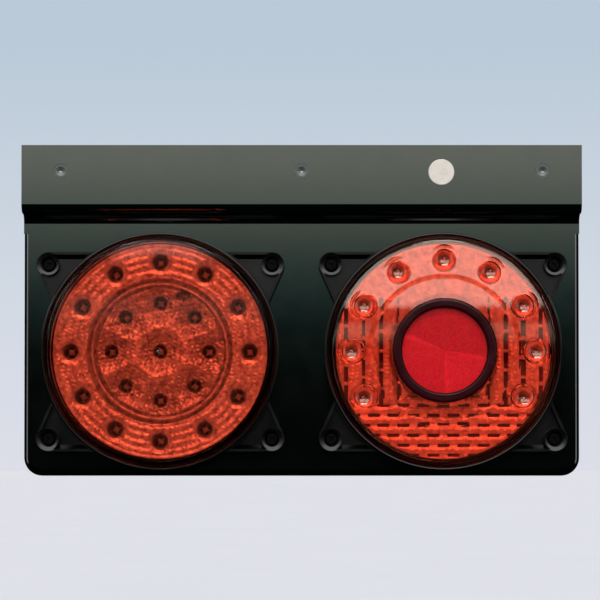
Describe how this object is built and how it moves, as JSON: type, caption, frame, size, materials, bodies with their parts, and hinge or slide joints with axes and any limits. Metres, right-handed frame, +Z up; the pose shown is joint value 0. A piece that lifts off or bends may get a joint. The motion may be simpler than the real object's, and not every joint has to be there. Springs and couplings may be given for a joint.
{
  "type": "truck tail light",
  "caption": "Rear light for a truck: round red LED lamps side by side on a pressed steel bracket, a reflex reflector between the lens bowls, and threaded studs behind the top flange.",
  "frame": {"origin": "on the rear face of the top flange, where the middle mounting stud's thread starts", "axes": "+X to the right as seen from behind the truck facing the lenses, +Y forward into the vehicle along the studs, +Z up; the lenses face -Y"},
  "size_m": [0.336, 0.0677, 0.1984],
  "materials": {
    "bracket_paint": "satin black paint on pressed steel, grey-green in the light",
    "stud_steel": "satin, painted over with the bracket",
    "marker_white": "smooth white",
    "housing_black": "fine grain, black",
    "gasket_foam": "matt black foam",
    "lens_left": "clear orange-red, polished",
    "lens_right": "clear orange-red, polished",
    "seal_rubber": "matt black rubber",
    "reflector_plastic": "pale moulding, lightly polished",
    "board_green": "green solder mask",
    "led_resin": "clear resin on a pale base",
    "part_black": "matt",
    "screw_black": "black finish",
    "zinc_steel": "zinc, satin",
    "gland_rubber": "matt black rubber",
    "vent_plastic": "matt dark grey",
    "reflex_red": "prismatic red reflector, smooth front",
    "bezel_dark": "very dark red, glossy"
  },
  "bodies": {
    "root": {"bracket": "bracket_paint", "mounting_studs": "stud_steel", "side_marker": "marker_white", "left_housing": "housing_black", "left_rear_cup": "housing_black", "left_gasket": "gasket_foam", "left_lens": "lens_left", "left_lens_seal": "seal_rubber", "left_reflector": "reflector_plastic", "left_circuit_board": "board_green", "left_leds": "led_resin", "left_board_parts": "part_black", "left_board_screws": "zinc_steel", "left_screws": "screw_black", "left_washers": "zinc_steel", "left_nuts": "zinc_steel", "left_cable_gland": "gland_rubber", "left_vent_cap": "vent_plastic", "right_housing": "housing_black", "right_rear_cup": "housing_black", "right_gasket": "gasket_foam", "right_lens": "lens_right", "right_lens_seal": "seal_rubber", "right_reflector": "reflector_plastic", "right_circuit_board": "board_green", "right_leds": "led_resin", "right_board_parts": "part_black", "right_board_screws": "zinc_steel", "right_screws": "screw_black", "right_washers": "zinc_steel", "right_nuts": "zinc_steel", "right_cable_gland": "gland_rubber", "right_vent_cap": "vent_plastic", "right_reflex_reflector": "reflex_red", "right_reflector_bezel": "bezel_dark"}
  },
  "joints": []
}
